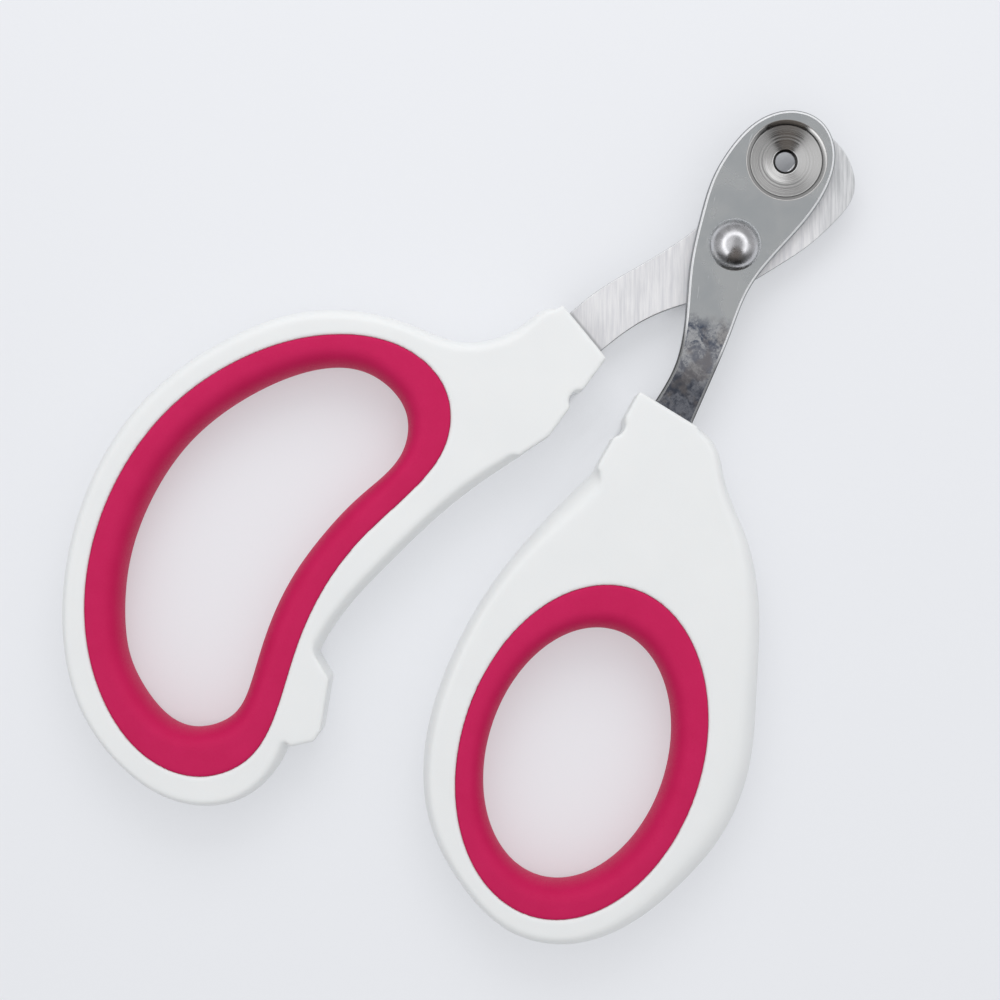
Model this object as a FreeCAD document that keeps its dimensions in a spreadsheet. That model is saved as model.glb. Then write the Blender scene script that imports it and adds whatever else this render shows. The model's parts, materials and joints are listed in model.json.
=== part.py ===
"""Pet nail trimmer: two ring blades on one rivet, in white plastic handles with soft grips.

Each half is drawn as it lies when the trimmer is shut, with the pivot at the origin, the head towards +Y and
the flat underside of the handles at z = 0. The halves are then swung apart about the pivot to their rest
opening, and the whole part is moved so that its origin is under the middle of its box. Millimetres, +Z up.
"""
import FreeCAD, Part
import math
import os

import Sketcher

SIZES = {
    # the stack, from the surface that the trimmer lies on
    "handle_thickness": 10.0,
    "blade_thickness": 2.2,
    "blade_gap": 0.04,
    "blade_chamfer": 0.4,
    # how far each half is swung from shut, at rest
    "half_opening": 5.75,
    # dish and nail hole in the upper blade
    "hole_distance": 14.9,
    "hole_radius": 1.5,
    "dish_lip_radius": 6.05,
    "dish_rim_radius": 5.5,
    "dish_rim_depth": 0.36,
    "dish_step_radius": 5.42,
    "dish_step_depth": 0.62,
    "dish_knee_radius": 3.2,
    "dish_knee_depth": 1.07,
    "dish_foot_radius": 1.9,
    "dish_foot_depth": 1.36,
    "hole_lead_depth": 1.66,
    # cutting edge of the lower blade
    "edge_bevel": 1.3,
    # rivet
    "shank_radius": 2.0,
    "running_clearance": 0.05,
    "rivet_head_radius": 3.95,
    "rivet_head_height": 2.5,
    "tail_radius": 3.0,
    "tail_height": 0.9,
    "washer_radius": 3.9,
    "washer_thickness": 0.8,
    # tangs
    "tang_hole_radius": 1.2,
    # handles
    "roundness": 2.4,
    "right_notch_radius": 1.85,
    "left_notch_radius": 1.65,
    "tab_corner_radius": 1.2,
    # the rim of each loop, which the soft grip is moulded over
    "rim_height": 3.4,
    "rim_depth": 2.0,
    # soft grips
    "grip_rounding": 2.8,
    "oval_length": 51.2,
    "oval_width": 36.2,
    "oval_hole_length": 39.0,
    "oval_hole_width": 27.2,
    "oval_tilt": 104.0,
    # where the pivot lies from the middle of the part's box
    "pivot_x": 2.076,
    "pivot_y": 47.973,
}

# Both handles end in a flat front face, which the arm of the blade comes out of.
RIGHT_FRONT = ((-0.7, -26.5), (9.6, -26.5))
LEFT_FRONT = ((-12.7, -24.54), (-2.4, -25.9))

# Upper blade: up the left side of the arm, round the head and down the right side.
UPPER_ARM_LEFT = (2.2, -26.5)
UPPER_ARM_RIGHT = (8.7, -26.5)
UPPER_EDGE = [
    UPPER_ARM_LEFT, (1.9, -20.0), (0.2, -14.8), (-4.4, -5.4), (-6.6, 1.0), (-8.1, 7.0), (-8.2, 12.0),
    (-6.6, 18.2), (-2.7, 22.1), (1.5, 22.7), (5.4, 20.1), (7.4, 14.6), (7.0, 7.0), (5.8, 0.5),
    (5.4, -4.5), (6.5, -11.5), (7.6, -18.5), UPPER_ARM_RIGHT,
]
UPPER_TANG = [(7.8, -26.5), (7.2, -44.0), (3.8, -44.0), (3.1, -26.5)]
UPPER_TANG_HOLES = [(5.5, -31.5), (5.5, -39.0)]

# Lower blade: the arm's left side, the notch that cuts, then the head and the right side down to the handle.
LOWER_ARM_LEFT = (-11.2, -24.74)
LOWER_ARM_RIGHT = (-3.9, -25.7)
NOTCH_HEEL = (-5.6, 11.7)
NOTCH_BOTTOM = (-1.7, 14.85)
NOTCH_TOE = (-5.0, 17.9)
LOWER_LEFT_EDGE = [
    LOWER_ARM_LEFT, (-10.3, -18.6), (-8.4, -12.0), (-6.6, -5.5), (-6.0, 0.0), (-7.4, 8.0), NOTCH_HEEL,
]
LOWER_RIGHT_EDGE = [
    NOTCH_TOE, (-4.6, 20.4), (0.1, 22.2), (4.6, 21.2), (7.6, 18.8), (8.7, 13.0), (8.2, 7.6), (6.9, 2.2),
    (4.4, -5.2), (0.5, -11.6), (-2.3, -17.6), LOWER_ARM_RIGHT,
]
LOWER_TANG = [(-4.9, -25.57), (-5.6, -42.0), (-9.4, -42.0), (-10.3, -24.85)]
LOWER_TANG_HOLES = [(-7.6, -30.0), (-7.6, -37.5)]

# Outline of each handle at mid height, clockwise from its front, as (x, y, width of the rounding there).
RIGHT_OUTLINE = [
    (10.6, -26.5, 1.2), (13.4, -27.3, 1.5), (17.4, -31.0, 1.9), (24.3, -36.3, 2.4), (31.2, -43.6, 3.4),
    (38.2, -55.5, 4.2), (43.3, -66.0, 4.6), (45.1, -76.5, 4.5), (43.6, -86.5, 3.6), (40.2, -95.6, 2.8),
    (34.2, -102.7, 2.0), (25.5, -105.9, 1.6), (15.5, -103.8, 1.5), (6.2, -98.0, 1.6), (-0.6, -87.8, 1.8),
    (-3.7, -76.0, 1.8), (-4.4, -64.5, 1.8), (-3.2, -53.6, 2.5), (-1.2, -44.5, 3.4), (0.3, -38.5, 3.0),
    (2.2, -32.0, 1.6), (5.8, -28.0, 1.2),
]
LEFT_OUTLINE = [
    (-12.4, -25.2, 1.2), (-8.5, -26.6, 1.2), (-4.0, -30.5, 1.2), (-2.2, -38.0, 1.2), (-1.9, -44.5, 1.3),
    (-3.2, -51.0, 1.7), (-4.7, -60.5, 1.8), (-5.3, -71.5, 1.8), (-5.2, -80.5, 1.8), (-3.4, -89.0, 1.8),
    (0.2, -96.5, 1.8), (3.4, -104.0, 1.5), (2.7, -112.0, 1.3), (-3.8, -118.5, 1.2), (-13.5, -120.5, 1.2),
    (-25.0, -118.0, 1.3), (-35.3, -110.5, 1.5), (-43.8, -98.6, 1.7), (-48.2, -86.3, 1.8), (-48.9, -74.5, 1.8),
    (-46.0, -62.1, 1.8), (-40.8, -52.0, 1.8), (-34.0, -45.6, 1.8), (-27.0, -41.9, 1.8), (-20.3, -38.9, 1.8),
    (-16.4, -34.3, 1.8), (-14.9, -29.4, 1.6), (-14.1, -26.4, 1.3),
]
# The sharp-edged block that holds each tang, and the closing stop on the left handle.
RIGHT_BLOCK = [*RIGHT_FRONT, (11.0, -33.0), (7.0, -43.0), (2.7, -41.5), (-0.2, -39.5)]
LEFT_BLOCK = [*LEFT_FRONT, (-0.7, -40.2), (-1.1, -41.9), (-2.0, -45.6), (-6.0, -46.0), (-13.0, -33.0)]
STOP_TAB = [(-5.6, -87.6), (0.1, -89.2), (4.5, -95.8), (4.8, -97.6), (2.7, -100.6), (-1.5, -100.2)]
STOP_TAB_ROUNDED_CORNER = 3
RIGHT_NOTCH = (-1.5, -32.8)
LEFT_NOTCH = (-0.9, -33.3)

# The kidney-shaped loop: matching points on the outer edge of the grip and on its finger hole.
KIDNEY = [
    ((-24.0, -45.1), (-24.5, -51.3)), ((-16.3, -46.0), (-18.8, -52.4)), ((-11.2, -51.6), (-15.3, -57.0)),
    ((-10.1, -60.5), (-15.1, -63.5)), ((-10.7, -71.0), (-15.6, -71.0)), ((-9.7, -80.0), (-14.7, -81.2)),
    ((-6.8, -88.8), (-11.7, -90.8)), ((-2.6, -97.6), (-8.1, -98.3)), ((-0.6, -106.2), (-6.9, -103.9)),
    ((-4.2, -113.2), (-9.5, -108.6)), ((-12.0, -116.4), (-14.5, -110.5)), ((-21.5, -114.9), (-21.5, -109.2)),
    ((-30.5, -109.6), (-27.4, -105.6)), ((-38.4, -100.5), (-34.0, -97.8)), ((-43.6, -88.4), (-38.5, -87.3)),
    ((-44.9, -75.5), (-39.8, -76.3)), ((-41.8, -62.3), (-37.2, -64.3)), ((-34.0, -50.6), (-31.4, -54.6)),
]
OVAL_CENTRE = (20.2, -77.0)
OVAL_HOLE_CENTRE = (20.1, -77.8)

# Angles of the sections that a handle's rounded side is lofted through, from the underside to the top.
SECTION_ANGLES = [-90, -79, -68, -56, -42, -24, 0, 24, 42, 56, 68, 79, 90]

# Two lengths, or two heights, closer than this are the same.
SAME = 0.0001
# A point this close to a drawn one is on the same edge.
NEAR = 0.05
# Edges of the lower blade's outline longer than this are its two sides; its notch and tang are shorter.
SIDE_LENGTH = 30.0
# How far the groove of a grip is drawn past the grip all round.
GROOVE_MARGIN = 5.0

PARTS = {}


# ---------------------------------------------------------------- document and helpers

doc = FreeCAD.newDocument("nail_trimmer")
sheet = doc.addObject("Spreadsheet::Sheet", "Sizes")
for row, (alias, value) in enumerate(SIZES.items(), start=1):
    sheet.set("A%d" % row, alias)
    sheet.set("B%d" % row, str(value))
    sheet.setAlias("B%d" % row, alias)
doc.recompute()


def size(alias):
    """The value of a named cell."""
    return float(sheet.get(alias))


def upper_floor():
    """Height of the underside of the upper blade."""
    return (size("handle_thickness") + size("blade_gap")) / 2


UPPER_FLOOR = "(Sizes.handle_thickness + Sizes.blade_gap) / 2"
LOWER_FLOOR = "(Sizes.handle_thickness - Sizes.blade_gap) / 2 - Sizes.blade_thickness"


def vector(point, z=0.0):
    return FreeCAD.Vector(point[0], point[1], z)


def new_body(label):
    """An empty body whose label is the sub-part's name."""
    body = doc.addObject("PartDesign::Body", label)
    body.Label = label
    PARTS[label] = body
    return body


def new_sketch(body, name, role="XY_Plane", lift="0"):
    """A sketch on one of the body's own origin planes, lifted along the plane's normal."""
    made = body.newObject("Sketcher::SketchObject", name)
    plane = next(item for item in body.Origin.OriginFeatures if item.Role == role)
    made.AttachmentSupport = [(plane, "")]
    made.MapMode = "FlatFace"
    made.setExpression("AttachmentOffset.Base.z", lift)
    return made


def add_polygon(sketch, points):
    """A closed run of lines, joined end to end."""
    first = sketch.GeometryCount
    count = len(points)
    for index in range(count):
        start, end = points[index], points[(index + 1) % count]
        sketch.addGeometry(Part.LineSegment(vector(start), vector(end)), False)
    for index in range(count):
        here, after = first + index, first + (index + 1) % count
        sketch.addConstraint(Sketcher.Constraint("Coincident", here, 2, after, 1))


def add_circle(sketch, centre, radius):
    """A circle whose radius follows an expression; its centre stays where it is put."""
    index = sketch.addGeometry(Part.Circle(vector(centre), FreeCAD.Vector(0, 0, 1), 1.0), False)
    sketch.addConstraint(Sketcher.Constraint("DistanceX", index, 3, centre[0]))
    sketch.addConstraint(Sketcher.Constraint("DistanceY", index, 3, centre[1]))
    datum = sketch.addConstraint(Sketcher.Constraint("Radius", index, 1.0))
    sketch.setExpression("Constraints[%d]" % datum, radius)


def curve_through(points, closed=False):
    """A smooth curve through the points, closed on itself or open."""
    curve = Part.BSplineCurve()
    curve.interpolate(Points=[vector(point) for point in points], PeriodicFlag=closed)
    return curve


def ellipse(centre, length, width, tilt):
    """An ellipse whose long axis is tilted from +X by the given angle."""
    angle = math.radians(tilt)
    along = FreeCAD.Vector(math.cos(angle), math.sin(angle), 0)
    across = FreeCAD.Vector(-math.sin(angle), math.cos(angle), 0)
    middle = vector(centre)
    return Part.Ellipse(middle + along * (length / 2), middle + across * (width / 2), middle)


def pad(body, sketch, name, length):
    feature = body.newObject("PartDesign::Pad", name)
    feature.Profile = sketch
    feature.setExpression("Length", length)
    doc.recompute()
    return feature


def pocket(body, sketch, name, length):
    """Cuts upwards from the sketch, and makes sure that something was cut."""
    before = body.Shape.Volume
    feature = body.newObject("PartDesign::Pocket", name)
    feature.Profile = sketch
    feature.Reversed = True
    feature.setExpression("Length", length)
    doc.recompute()
    if body.Shape.Volume >= before:
        raise RuntimeError("%s cut nothing" % name)
    return feature


def edge_names(shape, wanted):
    """Names of the edges whose middle and shape pass a test."""
    names = []
    for index, edge in enumerate(shape.Edges, start=1):
        middle = edge.valueAt((edge.FirstParameter + edge.LastParameter) / 2)
        if wanted(edge, middle):
            names.append("Edge%d" % index)
    return names


def dress(body, kind, base, names, amount):
    """A chamfer or a fillet on the named edges of a feature."""
    feature = body.newObject("PartDesign::" + kind, kind + "_of_" + base.Name)
    feature.Base = (base, names)
    feature.setExpression("Size" if kind == "Chamfer" else "Radius", amount)
    doc.recompute()
    return feature


# ---------------------------------------------------------------- blades

def make_blade(label, floor, chains, tang, tang_holes, pivot_radius):
    """A flat blade: its outline is made of smooth chains, and the tang is narrower than the arm."""
    body = new_body(label)
    outline = new_sketch(body, label + "_outline", lift=floor)
    for chain in chains:
        outline.addGeometry(chain, False)
    corners = [chains[-1].value(chains[-1].LastParameter), *(vector(point) for point in tang),
               chains[0].value(chains[0].FirstParameter)]
    for start, end in zip(corners, corners[1:]):
        outline.addGeometry(Part.LineSegment(start, end), False)
    add_circle(outline, (0, 0), pivot_radius)
    for centre in tang_holes:
        add_circle(outline, centre, "Sizes.tang_hole_radius")
    return body, pad(body, outline, label + "_plate", "Sizes.blade_thickness")


def long_top_edges(shape, front_y):
    """The upper edges of a blade's outline that lie outside its handle."""
    top = shape.BoundBox.ZMax
    circle_length = 2 * math.pi * (size("shank_radius") + size("running_clearance"))

    def wanted(edge, middle):
        level = top - edge.BoundBox.ZMin < SAME
        return level and edge.Length > circle_length and middle.y > front_y
    return edge_names(shape, wanted)


def make_upper_blade():
    """The ring blade: a turned dish leads the nail into the hole."""
    body, plate = make_blade("upper_blade", UPPER_FLOOR, [curve_through(UPPER_EDGE)], UPPER_TANG,
                             UPPER_TANG_HOLES, "Sizes.shank_radius")
    edges = long_top_edges(plate.Shape, UPPER_ARM_LEFT[1])
    dress(body, "Chamfer", plate, edges, "Sizes.blade_chamfer")
    profile = new_sketch(body, "dish_profile", role="YZ_Plane")
    profile.setExpression("AttachmentOffset.Base.x", "Sizes.hole_distance")
    profile.setExpression("AttachmentOffset.Base.y", UPPER_FLOOR + " + Sizes.blade_thickness")
    beyond = size("blade_thickness")
    add_polygon(profile, [
        (0, beyond), (size("dish_lip_radius"), beyond), (size("dish_lip_radius"), 0),
        (size("dish_rim_radius"), -size("dish_rim_depth")),
        (size("dish_step_radius"), -size("dish_step_depth")),
        (size("dish_knee_radius"), -size("dish_knee_depth")),
        (size("dish_foot_radius"), -size("dish_foot_depth")),
        (size("hole_radius"), -size("hole_lead_depth")),
        (size("hole_radius"), -2 * beyond), (0, -2 * beyond),
    ])
    before = body.Shape.Volume
    dish = body.newObject("PartDesign::Groove", "dish")
    dish.Profile = profile
    dish.ReferenceAxis = (profile, ["V_Axis"])
    dish.Angle = 360
    doc.recompute()
    if body.Shape.Volume >= before:
        raise RuntimeError("the dish cut nothing")


def make_lower_blade():
    """The cutting blade: its notch sweeps across the nail hole and is bevelled underneath."""
    notch = Part.Arc(vector(NOTCH_HEEL), vector(NOTCH_BOTTOM), vector(NOTCH_TOE))
    chains = [curve_through(LOWER_LEFT_EDGE), notch, curve_through(LOWER_RIGHT_EDGE)]
    body, plate = make_blade("lower_blade", LOWER_FLOOR, chains, LOWER_TANG, LOWER_TANG_HOLES,
                             "Sizes.shank_radius + Sizes.running_clearance")
    bottom = plate.Shape.BoundBox.ZMin

    def under_notch(edge, middle):
        near = (middle - vector(NOTCH_BOTTOM, bottom)).Length < 10 * NEAR
        return near and edge.BoundBox.ZMax - bottom < SAME
    plate = dress(body, "Chamfer", plate, edge_names(plate.Shape, under_notch), "Sizes.edge_bevel")
    top = plate.Shape.BoundBox.ZMax

    def outer_top(edge, middle):
        level = top - edge.BoundBox.ZMin < SAME
        return level and edge.Length > SIDE_LENGTH and middle.y > LOWER_ARM_RIGHT[1]
    dress(body, "Chamfer", plate, edge_names(plate.Shape, outer_top), "Sizes.blade_chamfer")


# ---------------------------------------------------------------- rivet

def turn(label, lines, arcs=()):
    """A turned piece about the pivot, from its half section in the YZ plane: runs of lines, and arcs."""
    body = new_body(label)
    section = new_sketch(body, label + "_section", role="YZ_Plane")
    for run in lines:
        for start, end in zip(run, run[1:]):
            section.addGeometry(Part.LineSegment(vector(start), vector(end)), False)
    for start, through, end in arcs:
        section.addGeometry(Part.Arc(vector(start), vector(through), vector(end)), False)
    feature = body.newObject("PartDesign::Revolution", label + "_turned")
    feature.Profile = section
    feature.ReferenceAxis = (section, ["V_Axis"])
    feature.Angle = 360
    doc.recompute()


def cap_middle(radius, height):
    """A point half way along the arc of a spherical cap, from its rim to its crown, as (radius, height)."""
    ball = (radius ** 2 + height ** 2) / (2 * height)
    half_angle = math.asin(radius / ball) / 2
    return ball * math.sin(half_angle), height - ball * (1 - math.cos(half_angle))


def make_rivet_and_washer():
    """A domed rivet through both blades, with its tail peened over a washer under them."""
    blade_top = upper_floor() + size("blade_thickness")
    washer_top = upper_floor() - size("blade_thickness") - 2 * size("blade_gap")
    washer_floor = washer_top - size("washer_thickness")
    shank, head, tail = size("shank_radius"), size("rivet_head_radius"), size("tail_radius")
    crown = (0, blade_top + size("rivet_head_height"))
    foot = (0, washer_floor - size("tail_height"))
    head_r, head_z = cap_middle(head, size("rivet_head_height"))
    tail_r, tail_z = cap_middle(tail, size("tail_height"))
    under_head, over_tail = (head, blade_top), (tail, washer_floor)
    turn("pivot_rivet", [[crown, foot], [over_tail, (shank, washer_floor), (shank, blade_top), under_head]], [
        (foot, (tail_r, washer_floor - tail_z), over_tail),
        (under_head, (head_r, blade_top + head_z), crown),
    ])
    outside = size("washer_radius")
    turn("rivet_washer", [[
        (shank, washer_floor), (outside, washer_floor), (outside, washer_top), (shank, washer_top),
        (shank, washer_floor),
    ]])


# ---------------------------------------------------------------- handles

def inset_outline(outline, share):
    """The handle's outline moved inwards by a share of the rounding's width at each point."""
    count = len(outline)
    moved = []
    for index, (x, y, width) in enumerate(outline):
        before, after = outline[index - 1], outline[(index + 1) % count]
        dx, dy = after[0] - before[0], after[1] - before[1]
        step = share * width / math.hypot(dx, dy)
        moved.append((x + dy * step, y - dx * step))
    return moved


def add_rounded_loop(body, outline):
    """The flat-topped, round-sided body of a handle, lofted from its underside to its top."""
    half = size("handle_thickness") / 2
    power = 2 / size("roundness")
    sections = []
    for number, degrees in enumerate(SECTION_ANGLES):
        angle = math.radians(degrees)
        rise = math.copysign(abs(math.sin(angle)) ** power, angle)
        inset = 1 - max(math.cos(angle), 0) ** power
        sketch = new_sketch(body, "%s_section_%d" % (body.Name, number), lift=str(half * (1 + rise)))
        sketch.addGeometry(curve_through(inset_outline(outline, inset), closed=True), False)
        sections.append(sketch)
    doc.recompute()
    loft = body.newObject("PartDesign::AdditiveLoft", body.Name + "_loop")
    loft.Profile = sections[0]
    loft.Sections = [(sketch, "") for sketch in sections[1:]]
    loft.Ruled = True
    doc.recompute()


def add_block(body, name, corners):
    """A block with upright walls through the whole thickness."""
    sketch = new_sketch(body, name + "_outline")
    add_polygon(sketch, corners)
    return pad(body, sketch, name, "Sizes.handle_thickness")


def cut_loop(body, grip_edge, rim_edge):
    """Opens the loop, and cuts both faces back so that a low rim is left for the soft grip."""
    through = new_sketch(body, body.Name + "_opening_outline")
    through.addGeometry(rim_edge, False)
    pocket(body, through, body.Name + "_opening", "Sizes.handle_thickness")
    ledge = "(Sizes.handle_thickness - Sizes.rim_height) / 2"
    for name, floor in (("lower", "0"), ("upper", "(Sizes.handle_thickness + Sizes.rim_height) / 2")):
        sketch = new_sketch(body, "%s_%s_ledge_outline" % (body.Name, name), lift=floor)
        sketch.addGeometry(grip_edge, False)
        pocket(body, sketch, "%s_%s_ledge" % (body.Name, name), ledge)


def cut_tang(body, floor, tang, tang_holes):
    """The space of the tang; the plastic runs through its holes."""
    sketch = new_sketch(body, body.Name + "_tang_outline", lift=floor)
    add_polygon(sketch, tang)
    for centre in tang_holes:
        add_circle(sketch, centre, "Sizes.tang_hole_radius")
    pocket(body, sketch, body.Name + "_tang", "Sizes.blade_thickness")


def cut_notch(body, centre, radius):
    """The half-round notch in the face towards the other handle."""
    sketch = new_sketch(body, body.Name + "_notch_outline")
    add_circle(sketch, centre, radius)
    pocket(body, sketch, body.Name + "_notch", "Sizes.handle_thickness")


def make_right_handle():
    body = new_body("right_handle")
    add_rounded_loop(body, RIGHT_OUTLINE)
    add_block(body, "right_block", RIGHT_BLOCK)
    cut_loop(body, oval("grip"), oval("rim"))
    cut_tang(body, UPPER_FLOOR, UPPER_TANG, UPPER_TANG_HOLES)
    cut_notch(body, RIGHT_NOTCH, "Sizes.right_notch_radius")


def make_left_handle():
    body = new_body("left_handle")
    add_rounded_loop(body, LEFT_OUTLINE)
    add_block(body, "left_block", LEFT_BLOCK)
    tab = add_block(body, "stop_tab", STOP_TAB)
    corner = STOP_TAB[STOP_TAB_ROUNDED_CORNER]

    def upright_at_corner(edge, middle):
        near = math.hypot(middle.x - corner[0], middle.y - corner[1]) < NEAR
        return near and edge.BoundBox.ZLength > NEAR
    dress(body, "Fillet", tab, edge_names(tab.Shape, upright_at_corner), "Sizes.tab_corner_radius")
    cut_loop(body, kidney("grip"), kidney("rim"))
    cut_tang(body, LOWER_FLOOR, LOWER_TANG, LOWER_TANG_HOLES)
    cut_notch(body, LEFT_NOTCH, "Sizes.left_notch_radius")


# ---------------------------------------------------------------- soft grips

def oval(edge):
    """The oval loop's outline at the grip's outer edge, at the rim that it covers, or at the thumb hole."""
    if edge == "hole":
        return ellipse(OVAL_HOLE_CENTRE, size("oval_hole_length"), size("oval_hole_width"), size("oval_tilt"))
    shrink = 2 * size("rim_depth") if edge == "rim" else 0
    return ellipse(OVAL_CENTRE, size("oval_length") - shrink, size("oval_width") - shrink, size("oval_tilt"))


def kidney(edge):
    """The kidney loop's outline at the grip's outer edge, at the rim under it, or at the finger hole."""
    points = []
    for outer, inner in KIDNEY:
        width = math.hypot(inner[0] - outer[0], inner[1] - outer[1])
        share = {"grip": 0.0, "rim": size("rim_depth") / width, "hole": 1.0}[edge]
        points.append((outer[0] + share * (inner[0] - outer[0]), outer[1] + share * (inner[1] - outer[1])))
    return curve_through(points, closed=True)


def around(outline):
    """Corners of a rectangle that clears an outline all round."""
    box = outline.toShape().BoundBox
    left, right = box.XMin - GROOVE_MARGIN, box.XMax + GROOVE_MARGIN
    low, high = box.YMin - GROOVE_MARGIN, box.YMax + GROOVE_MARGIN
    return [(left, low), (right, low), (right, high), (left, high)]


def make_grip(label, outline):
    """A soft ring, rounded into the hole and grooved all round to sit on the handle's rim."""
    body = new_body(label)
    ring = new_sketch(body, label + "_outline")
    ring.addGeometry(outline("grip"), False)
    ring.addGeometry(outline("hole"), False)
    base = pad(body, ring, label + "_ring", "Sizes.handle_thickness")
    hole_length = outline("hole").toShape().Length

    def hole_edge(edge, middle):
        return abs(edge.Length - hole_length) < NEAR and edge.BoundBox.ZLength < SAME
    dress(body, "Fillet", base, edge_names(base.Shape, hole_edge), "Sizes.grip_rounding")
    groove_floor = "(Sizes.handle_thickness - Sizes.rim_height) / 2"
    groove = new_sketch(body, label + "_groove_outline", lift=groove_floor)
    add_polygon(groove, around(outline("grip")))
    groove.addGeometry(outline("rim"), False)
    pocket(body, groove, label + "_groove", "Sizes.rim_height")


# ---------------------------------------------------------------- assembly

def place_parts(rest_angle):
    """Swings each half to its rest opening and puts the pivot at its place in the part's box."""
    pivot = FreeCAD.Vector(size("pivot_x"), size("pivot_y"), 0)
    upright = FreeCAD.Vector(0, 0, 1)
    for label, body in PARTS.items():
        side = -1 if label in ("lower_blade", "left_handle", "left_grip") else 1
        body.Placement = FreeCAD.Placement(pivot, FreeCAD.Rotation(upright, side * rest_angle))
    doc.recompute()


def whole_box():
    box = FreeCAD.BoundBox()
    for body in PARTS.values():
        box.add(body.Shape.optimalBoundingBox(False, False))
    return box


def check_document():
    """Stops if anything in the document failed or any sub-part has no sound solid."""
    for item in doc.Objects:
        if "Invalid" in item.State or "Error" in item.State:
            raise RuntimeError("%s failed: %s" % (item.Name, item.State))
    for label, body in PARTS.items():
        if body.Shape.isNull() or not body.Shape.isValid() or len(body.Shape.Solids) != 1:
            raise RuntimeError("%s has no sound solid" % label)


make_upper_blade()
make_lower_blade()
make_rivet_and_washer()
make_right_handle()
make_left_handle()
make_grip("right_grip", oval)
make_grip("left_grip", kidney)

place_parts(size("half_opening"))
check_document()

os.makedirs("parts", exist_ok=True)
for label, body in PARTS.items():
    body.Shape.exportStep("parts/%s.step" % label)
    box = body.Shape.BoundBox
    print("%-14s %9.1f mm3  x %6.1f..%6.1f  y %6.1f..%6.1f  z %5.2f..%5.2f" % (
        label, body.Shape.Volume, box.XMin, box.XMax, box.YMin, box.YMax, box.ZMin, box.ZMax))
middle = whole_box().Center
print("box middle off by %.3f, %.3f" % (middle.x, middle.y))
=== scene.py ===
"""Looks of the pet nail trimmer: white plastic handles with soft magenta grips and two steel ring blades.

Shapes are drawn in millimetres, each half as it lies when the trimmer is shut, with the pivot at the origin,
and are then turned to the rest opening and moved to the pivot's place in the frame.
"""

import json
import math

import bmesh
import bpy
import numpy as np
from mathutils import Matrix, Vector
from mathutils.geometry import delaunay_2d_cdt


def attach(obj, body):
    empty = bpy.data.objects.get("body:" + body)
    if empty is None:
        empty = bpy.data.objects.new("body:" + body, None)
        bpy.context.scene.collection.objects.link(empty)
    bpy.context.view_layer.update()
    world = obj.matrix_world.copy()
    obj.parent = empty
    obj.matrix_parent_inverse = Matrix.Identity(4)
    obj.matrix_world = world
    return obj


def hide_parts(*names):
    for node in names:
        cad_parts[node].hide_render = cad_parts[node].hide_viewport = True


MM = 0.001

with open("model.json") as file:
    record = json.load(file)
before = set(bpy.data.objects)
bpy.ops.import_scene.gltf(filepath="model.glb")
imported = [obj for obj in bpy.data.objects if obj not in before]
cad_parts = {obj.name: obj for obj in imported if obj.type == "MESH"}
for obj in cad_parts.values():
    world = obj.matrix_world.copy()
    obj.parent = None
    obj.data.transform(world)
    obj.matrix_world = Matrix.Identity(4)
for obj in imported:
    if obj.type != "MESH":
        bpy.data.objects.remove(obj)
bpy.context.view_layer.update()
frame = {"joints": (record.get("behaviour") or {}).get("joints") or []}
PIVOT = Vector(frame["joints"][0]["pos_m"])

# ---------------------------------------------------------------- sizes

# Lengths are in millimetres and angles in degrees. Each half is swung open by this much at rest.
HALF_OPENING = 5.75
THICKNESS = 10.0
MIDDLE = THICKNESS / 2
BLADE_THICKNESS = 2.2
BLADE_GAP = 0.04
UPPER_FLOOR = MIDDLE + BLADE_GAP / 2
LOWER_FLOOR = MIDDLE - BLADE_GAP / 2 - BLADE_THICKNESS
# The power of the curve of the handles' sides, and the rim by which each handle reaches into its grip.
ROUNDNESS = 2.4
RIM_HALF_HEIGHT = 1.7
RIM_DEPTH = 2.0

# Right handle: outline at mid height, clockwise, as (x, y, width of the rounding there), and its tang block.
RIGHT_OUTLINE = [
    (10.6, -26.5, 1.2), (13.4, -27.3, 1.5), (17.4, -31.0, 1.9), (24.3, -36.3, 2.4), (31.2, -43.6, 3.4),
    (38.2, -55.5, 4.2), (43.3, -66.0, 4.6), (45.1, -76.5, 4.5), (43.6, -86.5, 3.6), (40.2, -95.6, 2.8),
    (34.2, -102.7, 2.0), (25.5, -105.9, 1.6), (15.5, -103.8, 1.5), (6.2, -98.0, 1.6), (-0.6, -87.8, 1.8),
    (-3.7, -76.0, 1.8), (-4.4, -64.5, 1.8), (-3.2, -53.6, 2.5), (-1.2, -44.5, 3.4), (0.3, -38.5, 3.0),
    (2.2, -32.0, 1.6), (5.8, -28.0, 1.2),
]
RIGHT_BLOCK = [(-0.7, -26.5), (9.6, -26.5), (11.0, -33.0), (7.0, -43.0), (2.7, -41.5), (-0.2, -39.5)]
RIGHT_NOTCH = (-1.5, -32.8, 1.85)

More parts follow.
